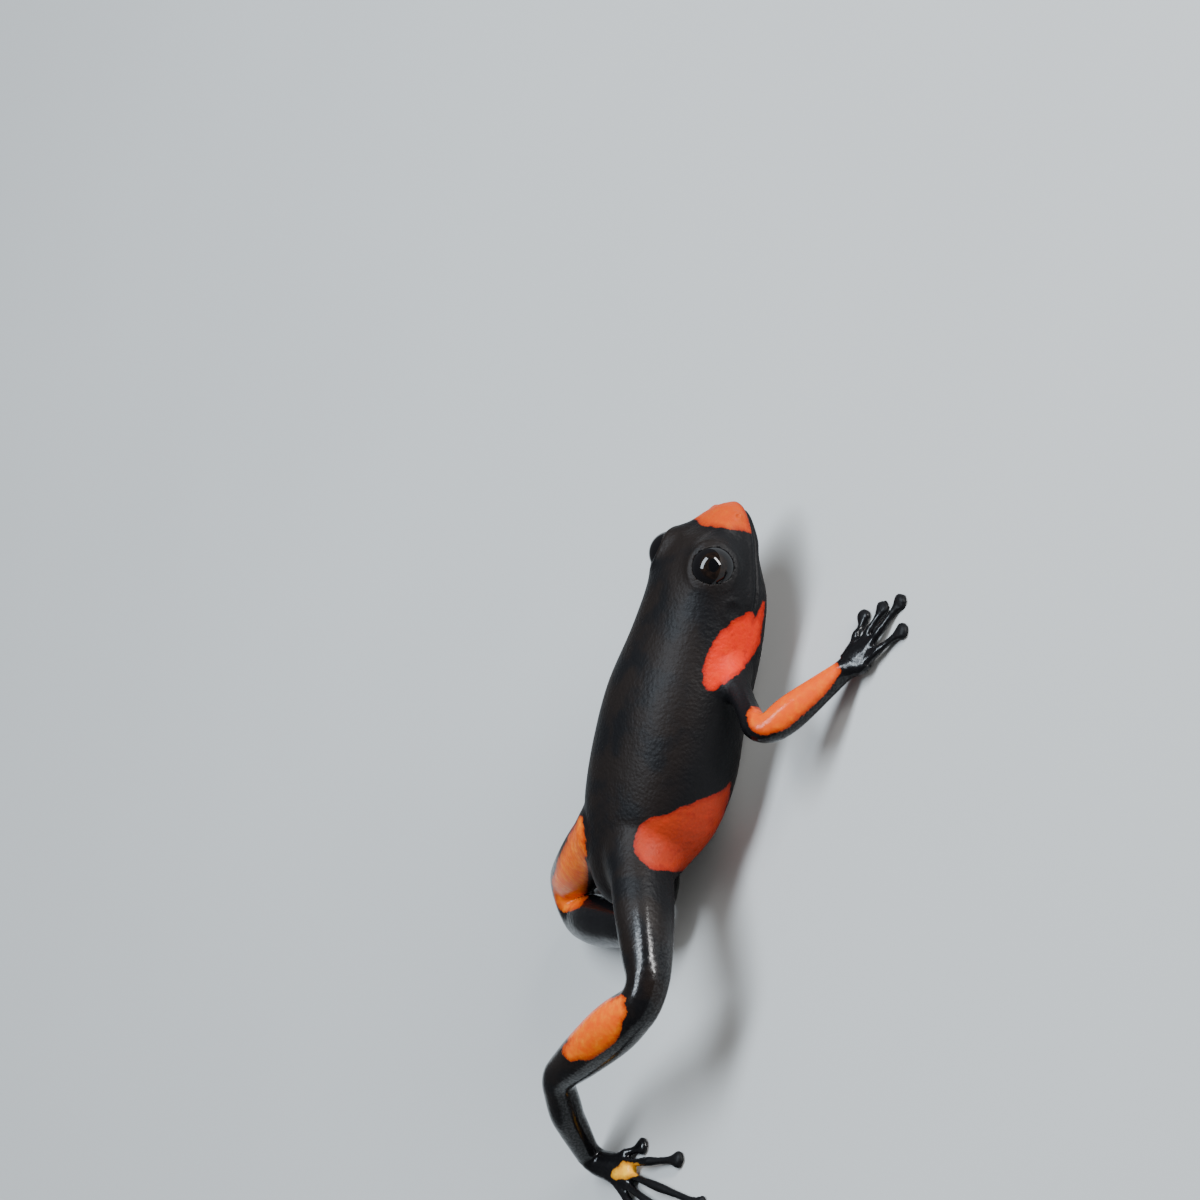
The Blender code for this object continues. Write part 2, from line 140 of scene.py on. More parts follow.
bends = {
    "right": {"knee": 2.5, "heel": 3.2, "instep": 5.0, "elbow": 1.6, "foot": 1.3, "wrist": 1.2},
    "left": {"knee": 2.5, "heel": 2.0, "instep": 5.0, "elbow": 1.6, "foot": 1.3, "wrist": 1.2},
}

# Share of the way along each part of a limb, half width, half height.
girths = {
    "thigh": [(0.0, 2.8, 2.8), (0.35, 2.65, 2.65), (0.7, 2.3, 2.25), (1.0, 1.85, 1.8)],
    "shank": [(0.0, 1.85, 1.8), (0.35, 2.3, 2.25), (0.7, 2.0, 1.95), (1.0, 1.5, 1.45)],
    "tarsus": [(0.0, 1.5, 1.45), (0.4, 1.55, 1.5), (1.0, 1.2, 1.05)],
    "foot": [(0.0, 1.0, 0.9), (0.5, 1.3, 0.85), (1.0, 1.1, 0.6)],
    "upperArm": [(0.0, 1.4, 1.4), (0.5, 1.0, 1.0), (1.0, 1.25, 1.25)],
    "forearm": [(0.0, 1.3, 1.3), (0.3, 1.55, 1.5), (0.8, 1.15, 1.1), (1.0, 0.95, 0.95)],
    "hand": [(0.0, 0.9, 0.9), (0.5, 1.45, 0.85), (1.0, 1.2, 0.6)],
}

digits = {
    # Fingers and toes: how far ahead and right each tip is, and how far back and out each root is.
    "tips": {
        "arm": {"right": [(15.4, 14.4), (16.7, 17.0), (17.6, 19.3), (15.2, 20.9)],
                "left": [(15.2, -9.4), (17.5, -11.2), (18.0, -14.2), (15.0, -16.8)]},
        "leg": {"right": [(-34.6, 3.9), (-34.3, 9.8), (-37.0, 14.9), (-39.9, 15.6), (-41.6, 9.2)],
                "left": [(-5.0, -9.6), (-4.6, -12.9), (-6.6, -16.2), (-11.0, -18.4), (-13.0, -14.2)]},
    },
    "roots": {"arm": [(1.5, -1.3), (0.9, -0.5), (0.9, 0.5), (1.5, 1.3)],
              "leg": [(2.3, -1.0), (0.9, -0.8), (0.8, 0.1), (1.1, 1.0), (2.3, 1.05)]},
    "spread": 0.8,                      # the roots are closer together than the table says, by this share
    "radius": 0.4,
    "knuckleAt": 0.35,
    "knuckleRise": 0.75,
    "discHalfWidth": 0.82,
    "discLength": 1.5,
    "discHalfHeight": 0.36,
    "sunk": 0.12,
    "pulledIn": 0.3,
    # Share of the way along the shaft or the disc, and half width and half height as shares of its own.
    "shaft": [(0.0, 0.95, 0.95), (0.3, 0.86, 0.86), (0.52, 1.08, 1.0), (0.72, 0.84, 0.82),
              (0.95, 0.92, 0.85)],
    "disc": [(0.35, 0.8, 1.0), (0.66, 1.0, 1.05), (0.85, 0.86, 1.0), (1.0, 0.5, 0.7)],
}


def smoothRows(table, at):
    # Cubic curve through the table's rows; the first column is the place.
    rows = np.array(table, float)
    at = np.clip(at, rows[0, 0], rows[-1, 0])
    i = np.clip(np.searchsorted(rows[:, 0], at, side="left") - 1, 0, len(rows) - 2)
    before, after = np.maximum(i - 1, 0), np.minimum(i + 2, len(rows) - 1)
    span = rows[i + 1, 0] - rows[i, 0]
    t = (at - rows[i, 0]) / span
    columns = []
    for k in range(1, rows.shape[1]):
        leftSlope = (rows[i + 1, k] - rows[before, k]) / (rows[i + 1, 0] - rows[before, 0])
        rightSlope = (rows[after, k] - rows[i, k]) / (rows[after, 0] - rows[i, 0])
        columns.append((2 * t**3 - 3 * t**2 + 1) * rows[i, k] + (t**3 - 2 * t**2 + t) * span * leftSlope
                       + (3 * t**2 - 2 * t**3) * rows[i + 1, k] + (t**3 - t**2) * span * rightSlope)
    return columns


def blended(first, second, softness):
    # The smaller of two distances, rounded where they meet.
    share = np.maximum(softness - np.abs(first - second), 0) / softness
    return np.minimum(first, second) - share * share * softness / 4


def carved(body, tool, softness):
    return -blended(-body, tool, softness)


class Block:
    # A box of distances to the skin, negative inside, on an even grid.
    def __init__(self, low, high, step):
        self.step = step
        self.low = np.array(low, float)
        counts = np.ceil((np.array(high) - self.low) / step).astype(int) + 1
        self.axes = [self.low[i] + step * np.arange(counts[i]) for i in range(3)]
        self.values = np.full(counts, skin["far"], np.float32)

    def window(self, low, high):
        parts = []
        for i in range(3):
            start = max(int((low[i] - self.low[i]) / self.step), 0)
            parts.append(slice(start, max(int((high[i] - self.low[i]) / self.step) + 2, start + 1)))
        return tuple(parts), self.grids(parts)

    def grids(self, parts=(slice(None),) * 3):
        places = [axis[part].astype(np.float32) for axis, part in zip(self.axes, parts)]
        return np.meshgrid(*places, indexing="ij", sparse=True)

    def chain(self, points, widths, heights, margin):
        # A tube with oval sections along a line of points.
        for k in range(len(points) - 1):
            reach = max(widths[k], widths[k + 1], heights[k], heights[k + 1]) + margin
            first, second = points[k], points[k + 1]
            low = np.minimum(first, second) - reach
            high = np.maximum(first, second) + reach
            parts, grids = self.window(low, high)
            if min(part.stop - part.start for part in parts) < 2:
                continue
            distance = tubeDistance(grids, first, second, widths[k:k + 2], heights[k:k + 2])
            self.values[parts] = np.minimum(self.values[parts], distance)


def tubeDistance(grids, first, second, widths, heights):
    line = second - first
    length = max(np.linalg.norm(line), 1e-6)
    along = line / length
    side = np.cross(along, (0, 0, 1))
    side = side / max(np.linalg.norm(side), 1e-6)
    rise = np.cross(side, along)
    away = [grid - start for grid, start in zip(grids, first)]
    onAlong = away[0] * along[0] + away[1] * along[1] + away[2] * along[2]
    share = np.clip(onAlong / length, 0, 1)
    onAlong = onAlong - share * length
    onSide = away[0] * side[0] + away[1] * side[1] + away[2] * side[2]
    onRise = away[0] * rise[0] + away[1] * rise[1] + away[2] * rise[2]
    width = widths[0] + (widths[1] - widths[0]) * share
    height = heights[0] + (heights[1] - heights[0]) * share
    reach = np.sqrt(onSide**2 + onRise**2 + onAlong**2) + 1e-5
    ends = onAlong / np.minimum(width, height)
    oval = np.sqrt((onSide / width)**2 + (onRise / height)**2 + ends**2) + 1e-5
    return reach * (1 - 1 / oval)


def ballDistance(grids, centre, radii):
    away = [grid - middle for grid, middle in zip(grids, centre)]
    reach = np.sqrt(away[0]**2 + away[1]**2 + away[2]**2) + 1e-5
    oval = np.sqrt((away[0] / radii[0])**2 + (away[1] / radii[1])**2 + (away[2] / radii[2])**2) + 1e-5
    return reach * (1 - 1 / oval)


def trunkSection(ahead):
    # Half width, half height, middle, and how far into the rounded rump or snout a place is.
    halfWidth, halfHeight, middle = smoothRows(trunk["rows"], ahead)
    rump, snout = trunk["rows"][0][0], trunk["rows"][-1][0]
    back = np.maximum((trunk["rumpRoundsFrom"] - ahead) / (trunk["rumpRoundsFrom"] - rump), 0)
    front = np.maximum((ahead - trunk["snoutRoundsFrom"]) / (snout - trunk["snoutRoundsFrom"]), 0)
    return halfWidth, halfHeight, middle, back + front


def trunkLevel(ahead, right, up):
    # Below 1 inside the trunk, 1 on its surface.
    halfWidth, halfHeight, middle, rounding = trunkSection(ahead)
    power = trunk["squareness"]
    section = ((np.abs(right) / halfWidth)**power + (np.abs(up - middle) / halfHeight)**power)**(2 / power)
    return np.sqrt(section + rounding**2)


def trunkDistance(grids, step):
    level = trunkLevel(*grids).astype(np.float32)
    slopes = np.gradient(level, step)
    return (level - 1) / np.maximum(np.sqrt(slopes[0]**2 + slopes[1]**2 + slopes[2]**2), skin["leastSlope"])


def mouthHeight(turn):
    share = np.minimum(np.abs(turn) / math.radians(head["mouthCorner"]), 1)
    return head["mouthFront"] + (head["mouthBack"] - head["mouthFront"]) * share


def mouthAcross(ahead, right, up):
    # How far above the line of the mouth a place is, and how much of the mouth is left there.
    turn = np.arctan2(right, ahead - head["turnsFrom"])
    share = np.abs(turn) / math.radians(head["mouthCorner"])
    return up - mouthHeight(turn), np.clip((1.02 - share) * head["mouthFade"], 0, 1)


def around(turnDegrees, up):
    # Where a level line from the head's middle leaves its surface.
    turn = math.radians(turnDegrees)
    near, farther = 0.0, 30.0
    for _ in range(40):
        reach = (near + farther) / 2
        ahead, right = head["turnsFrom"] + math.cos(turn) * reach, math.sin(turn) * reach
        inside = trunkLevel(np.array(ahead), right, up) < 1
        near, farther = (reach, farther) if inside else (near, reach)
    return np.array((head["turnsFrom"] + math.cos(turn) * near, math.sin(turn) * near, up))


def roundedRoute(stops, radii):
    # A path through its stops, rounded at each inner one to its own radius, with the lengths of its joints.
    corners = [Vector(stop) for stop in stops]
    passes, longest, arcSteps = 12, 0.45, 16
    for _ in range(passes):
        for k, radius in enumerate(radii, 1):
            back = (corners[k - 1] - corners[k]).normalized()
            forth = (corners[k + 1] - corners[k]).normalized()
            half = back.angle(forth) / 2
            corners[k] = Vector(stops[k]) - (back + forth).normalized() * (radius / math.sin(half) - radius)
    points, joints = [corners[0]], []
    for before, corner, after, radius in zip(corners, corners[1:], corners[2:], radii):
        back, forth = (before - corner).normalized(), (after - corner).normalized()
        half = back.angle(forth) / 2
        shorter = min((before - corner).length, (after - corner).length)
        reach = min(radius / math.tan(half), longest * shorter)
        start, end = corner + back * reach, corner + forth * reach
        centre = corner + (back + forth).normalized() * (reach / math.cos(half))
        turn = (start - centre).rotation_difference(end - centre)
        for k in range(arcSteps + 1):
            points.append(centre + Quaternion().slerp(turn, k / arcSteps) @ (start - centre))
        joints.append(len(points) - 1 - arcSteps // 2)
    points.append(corners[-1])
    points = np.array([tuple(point) for point in points])
    lengths = np.concatenate([[0], np.cumsum(np.linalg.norm(np.diff(points, axis=0), axis=1))])
    return points, lengths, [lengths[k] for k in joints]


class Limb:
    # The line down the middle of an arm or leg, how thick it is all along, and the span of each part.
    def __init__(self, stops, partNames, side):
        inner = list(stops)[1:-1]
        radii = [bends[side][name] for name in inner]
        self.points, self.lengths, joints = roundedRoute(list(stops.values()), radii)
        parted = [place for name, place in zip(inner, joints) if name != "instep"]
        cuts = [0.0] + parted + [self.lengths[-1]]
        self.spans = dict(zip(partNames, zip(cuts, cuts[1:])))
        rows = []
        for name, (start, end) in self.spans.items():
            for share, width, height in girths[name]:
                place = start + (end - start) * share
                if not rows or place > rows[-1][0] + 0.01:
                    rows.append((place, width, height))
        self.rows = rows
        count = int(self.lengths[-1] / 0.55)
        self.places = np.linspace(0, self.lengths[-1], count)
        self.line = self.at(self.places)
        self.widths, self.heights = smoothRows(rows, self.places)

    def at(self, length):
        return np.stack([np.interp(length, self.lengths, self.points[:, i]) for i in range(3)], axis=-1)

    def heading(self, length):
        ahead = self.at(length + 0.35) - self.at(length - 0.35)
        return ahead / np.linalg.norm(ahead)

    def onSurface(self, part, share, turnDegrees):
        # A place on the skin: how far along a part, and turned from the top toward the limb's right side.
        start, end = self.spans[part]
        length = start + (end - start) * share
        along = self.heading(length)
        side = np.cross(along, (0, 0, 1))
        side /= np.linalg.norm(side)
        rise = np.cross(side, along)
        width, height = (float(value) for value in smoothRows(self.rows, np.array(length)))
        turn = math.radians(turnDegrees)
        return self.at(length) + side * math.sin(turn) * width + rise * math.cos(turn) * height


def digitLine(root, tip):
    # The line down a finger or toe to its tip on the floor, and its half widths and heights.
    floorTip = np.array((*tip, digits["discHalfHeight"] - digits["sunk"]))
    level = floorTip - root
    level[2] = 0
    reach = np.linalg.norm(level)
    discLength = min(digits["discLength"], 0.45 * reach)
    knuckle = root + (floorTip - root) * digits["knuckleAt"]
    knuckle[2] = digits["knuckleRise"]
    discStart = floorTip - level / reach * discLength
    discStart[2] += 0.1
    points, lengths, _ = roundedRoute([root, knuckle, discStart, floorTip], [0.2 * reach, 0.2 * reach])
    whole = lengths[-1]
    share = 1 - discLength / whole
    radius, discWidth, discHeight = (digits[name] for name in ("radius", "discHalfWidth", "discHalfHeight"))
    rows = [(share * at, radius * width, radius * height) for at, width, height in digits["shaft"]]
    rows += [(share + (1 - share) * at, discWidth * width, discHeight * height)
             for at, width, height in digits["disc"]]
    along = np.linspace(0, 1, 26)
    line = np.stack([np.interp(along * whole, lengths, points[:, i]) for i in range(3)], axis=-1)
    line -= (level / reach) * (np.clip((along - share) / (1 - share), 0, 1) * digits["pulledIn"])[:, None]
    widths, heights = smoothRows(rows, along)
    return line, widths, heights


def limbField(block, limb, kind, side):
    # One limb with its digits, on its own grid of distances.
    field = Block(skin["low"], skin["high"], block.step)
    near = int(len(limb.line) * 0.45)
    rootMargin = skin["blend"][kind] + 0.3
    field.chain(limb.line[:near + 1], limb.widths[:near + 1], limb.heights[:near + 1], rootMargin)
    field.chain(limb.line[near:], limb.widths[near:], limb.heights[near:], skin["limbMargin"])
    outward = (-1 if side == "right" else 1) * digits["spread"]
    for (back, out), tip in zip(digits["roots"][kind], digits["tips"][kind][side]):
        length = limb.lengths[-1] - back
        along = limb.heading(length)
        across = np.cross(along, (0, 0, 1))
        across /= np.linalg.norm(across)
        root = limb.at(length) + across * (out * outward)
        line, widths, heights = digitLine(root, tip)
        margin = skin["digitMargin"]
        parts, grids = field.window(line.min(axis=0) - margin, line.max(axis=0) + margin)
        digit = skin["far"]
        for k in range(len(line) - 1):
            distance = tubeDistance(grids, line[k], line[k + 1], widths[k:k + 2], heights[k:k + 2])
            digit = np.minimum(digit, distance)
        field.values[parts] = blended(field.values[parts], digit, skin["digitBlend"])
    return field.values


def eyeAxes(side):
    ahead, out, up = head["eyePlace"]
    looks = np.array((head["eyeLooks"][0], head["eyeLooks"][1] * side, head["eyeLooks"][2]))
    return np.array((ahead, out * side, up)), looks / np.linalg.norm(looks)


def mirroredPlace(place, side):
    return np.array(place) * (1, side, 1)


def shapeHead(block):
    # Brow, lids, sockets, lips, nostrils and eardrums.
    parts, grids = block.window(*head["box"])
    field = block.values[parts]
    across, left = mouthAcross(*grids)
    depth, halfWidth = head["groove"]
    field = field + left * depth * np.exp(-(across / halfWidth)**2)
    for rise, height, halfWidth in head["lips"]:
        field = field - left * rise * np.exp(-((across - height) / halfWidth)**2)
    for side in (1, -1):
        centre, looks = eyeAxes(side)
        radius = head["eyeRadius"]
        nostril = around(head["nostrilTurn"] * side, head["nostrilHeight"])
        # The ridge from the eye to the nostril.
        ridge = head["ridge"]
        start = centre + mirroredPlace(ridge["start"], side)
        end = nostril + mirroredPlace(ridge["end"], side)
        ridgeDistance = tubeDistance(grids, start, end, ridge["radii"], ridge["radii"])
        field = blended(field, ridgeDistance, ridge["blend"])
        # A low brow that carries the lid into the crown.
        brow = head["brow"]
        middle = centre - looks * brow["back"] + mirroredPlace(brow["at"], side)
        field = blended(field, ballDistance(grids, middle, brow["radii"]), brow["blend"])
        lids = ballDistance(grids, centre, (radius + head["lidThick"],) * 3)
        cut = looks - np.array((0, 0, head["lidTilt"]))
        cut /= np.linalg.norm(cut)
        edge = centre + looks * head["lidRise"]
        above = sum((grid - place) * slope for grid, place, slope in zip(grids, edge, cut))
        lids = -blended(-lids, -above, head["lidEdge"])
        field = blended(field, lids, head["lidBlend"])
        socket = ballDistance(grids, centre, (radius - head["eyeSunk"],) * 3)
        field = carved(field, socket, head["socketBlend"])
        for name, join in (("swelling", blended), ("pit", carved)):
            look = head[name]
            ball = ballDistance(grids, nostril + mirroredPlace(look["at"], side), look["radii"])
            field = join(field, ball, look["blend"])
    for side in (1, -1):
        away = [grid - place for grid, place in zip(grids, mirroredPlace(head["drum"], side))]
        reach = np.sqrt(away[0]**2 + away[2]**2 + 0.3 * away[1]**2)
        rise, halfWidth = head["drumRing"]
        ring = np.exp(-((reach - head["drumRadius"]) / halfWidth)**2)
        dish = np.clip(1 - reach / head["drumRadius"], 0, 1)
        nearSide = np.exp(-(away[1] / 1.6)**2)
        field = field - nearSide * (rise * ring - head["drumDepth"] * dish)
    block.values[parts] = field


def buildSkin():
    step = skin["step"]
    block = Block(skin["low"], skin["high"], step)
    grids = block.grids()
    block.values = np.minimum(trunkDistance(grids, step), skin["far"]).astype(np.float32)
    shapeHead(block)
    limbs = {}
    for side in ("right", "left"):
        limbs["arm", side] = Limb(arms[side], ["upperArm", "forearm", "hand"], side)
        limbs["leg", side] = Limb(legs[side], ["thigh", "shank", "tarsus", "foot"], side)
    for (kind, side), limb in limbs.items():
        values = limbField(block, limb, kind, side)
        root = limb.at(limb.spans["upperArm" if kind == "arm" else "thigh"][1] * 0.3)
        away = sum((grid - place)**2 for grid, place in zip(grids, root))
        fading = np.exp(-(away / skin["blendReach"][kind]**2)**2)
        softness = skin["touchBlend"] + skin["blend"][kind] * fading
        block.values = blended(block.values, values, softness.astype(np.float32))
        print("skin has its", side, kind)
    block.values = carved(block.values, grids[2], skin["floorBlend"])
    return block, limbs


def sampled(block, points):
    # The distance, and its slope, at any points of a block.
    place = (points - block.low) / block.step
    cell = np.clip(np.floor(place).astype(int), 0, np.array(block.values.shape) - 2)
    part = place - cell
    x, y, z = cell.T
    u, v, w = part.T
    corner = {(i, j, k): block.values[x + i, y + j, z + k] for i in (0, 1) for j in (0, 1) for k in (0, 1)}
    total, slope = 0, [0, 0, 0]
    for (i, j, k), value in corner.items():
        a, b, c = (u if i else 1 - u), (v if j else 1 - v), (w if k else 1 - w)
        total = total + value * a * b * c
        slope[0] = slope[0] + value * (1 if i else -1) * b * c
        slope[1] = slope[1] + value * a * (1 if j else -1) * c
        slope[2] = slope[2] + value * a * b * (1 if k else -1)
    return total, np.stack(slope, axis=1) / block.step


def settled(block, points, most):
    # Moves points onto the skin of a block, each by no more than so much.
    start = points.copy()
    for _ in range(3):
        distance, slope = sampled(block, points)
        points = points - slope * (distance / np.maximum((slope**2).sum(axis=1), 0.2))[:, None]
        away = points - start
        reach = np.linalg.norm(away, axis=1)
        points = start + away * np.minimum(1, most / np.maximum(reach, 1e-6))[:, None]
    return points


def meshFrom(block):
    grid = openvdb.FloatGrid()
    grid.background = skin["far"]
    grid.copyFromArray(np.ascontiguousarray(np.clip(block.values, -1, 1), np.float32))
    points, triangles, quads = grid.convertToPolygons(isovalue=0, adaptivity=0)
    points = np.array(points) * block.step + block.low
    faces = [tuple(face) for face in quads] + [tuple(face) for face in triangles]
    return points, faces


def largestOnly(mesh):
    # Deletes all of a mesh but its largest connected piece.
    seen, best = set(), []
    for start in mesh.verts:
        if start in seen:
            continue
        group, waiting = [], [start]
        seen.add(start)
        while waiting:
            point = waiting.pop()
            group.append(point)
            for edge in point.link_edges:
                other = edge.other_vert(point)
                if other not in seen:
                    seen.add(other)
                    waiting.append(other)
        if len(group) > len(best):
            best = group
    kept = set(best)
    bmesh.ops.delete(mesh, geom=[point for point in mesh.verts if point not in kept], context="VERTS")


def perPoint(mesh, name):
    # The places ("co") or normals of a mesh's points, as an array.
    flat = np.empty(len(mesh.vertices) * 3)
    mesh.vertices.foreach_get(name, flat)
    return flat.reshape(-1, 3)


def needsFineMesh(points):
    # Whether each point is by the lids, a nostril or the mouth, where the squares are divided again.
    fine = np.zeros(len(points), bool)
    for side in (1, -1):
        nostril = around(head["nostrilTurn"] * side, head["nostrilHeight"])
        fine |= np.linalg.norm(points - eyeAxes(side)[0], axis=1) < head["eyeRadius"] + 0.95
        fine |= np.linalg.norm(points - nostril, axis=1) < 0.7
    across, left = mouthAcross(*points.T)
    return fine | ((np.abs(across) < 0.42) & (left > 0) & (points[:, 0] > skin["fineFrom"] + 0.4))


def toScene(points):
    # From (ahead, right, up) in mm to the scene's metres.
    return np.stack([-points[:, 1], -points[:, 0], points[:, 2]], axis=1) * mm + shift


def fineHead():
    # The head's distances again on a finer grid, where no limb reaches it.
    low, high = (skin["fineFrom"] - 0.6, -7.2, 0.6), (22.0, 7.2, 12.6)
    block = Block(low, high, skin["fineStep"])
    block.values = trunkDistance(block.grids(), block.step).astype(np.float32)
    shapeHead(block)
    return block


eyeLow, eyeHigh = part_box("eye_right")
eyeMiddle = (np.array(eyeLow) + np.array(eyeHigh)) / 2
ahead, right, up = head["eyePlace"]
shift = eyeMiddle - np.array((-right, -ahead, up)) * mm
print("the frog's floor point in the scene, mm:", np.round(shift / mm, 3))


def added(name, data):
    item = bpy.data.objects.new(name, data)
    bpy.context.scene.collection.objects.link(item)
    return item


def makeSkin():
    block, limbs = buildSkin()
    points, faces = meshFrom(block)
    mesh = bpy.data.meshes.new("frog_skin")
    mesh.from_pydata([tuple(point) for point in points], [], faces)
    work = bmesh.new()
    work.from_mesh(mesh)
    largestOnly(work)
    for _ in range(2):
        work.verts.ensure_lookup_table()
        fine = needsFineMesh(np.array([tuple(point.co) for point in work.verts]))
        edges = [edge for edge in work.edges if edge.calc_length() > skin["shortEdge"]
                 and fine[edge.verts[0].index] and fine[edge.verts[1].index]]
        bmesh.ops.subdivide_edges(work, edges=edges, cuts=1, use_grid_fill=True)
        work.verts.index_update()
    bmesh.ops.recalc_face_normals(work, faces=work.faces)
    work.to_mesh(mesh)
    work.free()
    points = settled(block, perPoint(mesh, "co"), skin["mostMoved"]["body"])
    onHead = points[:, 0] > skin["fineFrom"]
    points[onHead] = settled(fineHead(), points[onHead], skin["mostMoved"]["head"])
    mesh.vertices.foreach_set("co", toScene(points).ravel())
    mesh.flip_normals()                 # the frog's own directions are left-handed
    mesh.update()
    mesh.shade_smooth()
    print("skin mesh:", len(mesh.vertices), "points",
          sum(len(face.vertices) - 2 for face in mesh.polygons), "triangles")
    return added("frog_skin", mesh), points, limbs


skinPiece, skinPoints, limbs = makeSkin()

# The orange markings. Those that the photograph shows are strokes (x, y, half width) in its frame of 1200,
# and each is laid only on the part of the frog that it belongs to. The other side has the body's mirrored.
markings = {
    "shoulder": [[(764, 602, 1.5), (759, 619, 4.5), (749, 640, 12)],
                 [(749, 617, 6), (742, 632, 15), (735, 646, 21), (727, 658, 20), (718, 670, 16),
                  (712, 682, 9.5)]],
    "flank": [[(731, 782, 1), (722, 798, 7), (707, 815, 18), (691, 829, 25), (675, 842, 30),
               (661, 843, 27.5)]],
    "snoutFrom": 18.4,
    "snoutSlope": 0.16,
    "shown": {
        ("leg", "right", "shank"): [(621, 998, 5), (612, 1011, 15), (600, 1027, 21.5), (586, 1041, 19),
                                    (573, 1050, 11)],
        ("leg", "right", "foot"): [(617, 1173, 6), (626, 1169, 9.5), (634, 1168, 7)],
        ("leg", "left", "thigh"): [(581, 817, 2), (577, 838, 9), (573, 862, 15.5), (570, 882, 18.5),
                                   (569, 898, 15)],
        ("leg", "left", "shank"): [(578, 891, 12), (571, 898, 13)],
        ("arm", "right", "forearm"): [(764, 718, 17.5), (778, 713, 18.5), (800, 697, 16), (820, 681, 13.5),
                                      (831, 670, 10)],
    },
    # Out of the photograph's sight: part, then (share along, turn from the top, half width in mm).
    "unseen": {
        ("arm", "left", "forearm"): [(0.0, 20, 1.5), (0.25, 20, 1.9), (0.6, 20, 1.6), (0.93, 20, 1.2)],
        ("leg", "left", "foot"): [(0.5, 0, 0.8), (0.9, 0, 1.1)],
    },
    "limbLeavesBody": {"arm": 3.4, "leg": 6.5},     # how far along it, mm
    "leftLower": 0.9,                   # the left side's are this much lower, mm
    "outside": -3.0,
    "clearOfLimb": 1.5,                 # the body's keep this far from a limb's line, mm
    "clearOfMouth": 0.35,
    "limbReach": 3.2,                   # a limb's skin is no further than this from its line, mm
    "wrap": {"right": 0.9, "left": -0.1},           # how far a patch goes round a limb, out of sight
    "bodyWrap": 1.2,                    # the same on the body, and past the middle of a limb
    # How far a limb's patch may run past the ends of its part, mm, and otherwise the first value.
    "spill": {"other": 1.2, "forearm": 2.3, "thigh": 2.6},
    "paintedShade": {"snout": 0.42, "forearm": 0.2},       # painted shade: how much black is mixed into a patch that the lamps light too brightly
    # 0 is brick red, 1 red-orange, 2 orange and 3 yellow. The flank's brick red is painted shade, a darker
    # copy of the shoulder's red-orange.
    # The thigh's and the foot's values are partly painted light: the thigh's orange and the foot's
    # yellow-orange are pushed toward the lighter yellow, the thigh's because it is turned from the lamps
    # and the foot's for the highlight on it.
    "warmth": {"shoulder": 1.15, "flank": 0.1, "snout": 1.95, "forearm": 2.0, "shank": 2.1, "thigh": 2.15,
               "foot": 2.7},
}


def onPhotograph(points):
    right, up, toward = (np.array(photoView[name]) for name in ("right", "up", "toward"))
    scale = photoView["pixelsPerUnit"] / (photoView["distance"] - points @ toward)
    x, y = photoView["pixelOfFloorPoint"]
    return x + scale * (points @ right), y - scale * (points @ up), scale


def strokeInside(x, y, stroke):
    # How far inside a stroke of changing width a place is.
    best = np.full(np.shape(x), -1e3)
    for (x0, y0, r0), (x1, y1, r1) in zip(stroke, stroke[1:]):
        lineX, lineY = x1 - x0, y1 - y0
        share = np.clip(((x - x0) * lineX + (y - y0) * lineY) / (lineX**2 + lineY**2), 0, 1)
        reach = np.hypot(x - x0 - lineX * share, y - y0 - lineY * share)
        best = np.maximum(best, r0 + (r1 - r0) * share - reach)
    return best


def limbShares(limb):
    # How near each point of the skin is to a limb's line, and in which of its parts.
    nearest, length = np.full(len(skinPoints), 1e3), np.zeros(len(skinPoints))
    for place, point in zip(limb.places, limb.line):
        reach = np.linalg.norm(skinPoints - point, axis=1)
        closer = reach < nearest
        nearest[closer], length[closer] = reach[closer], place
    return nearest, length


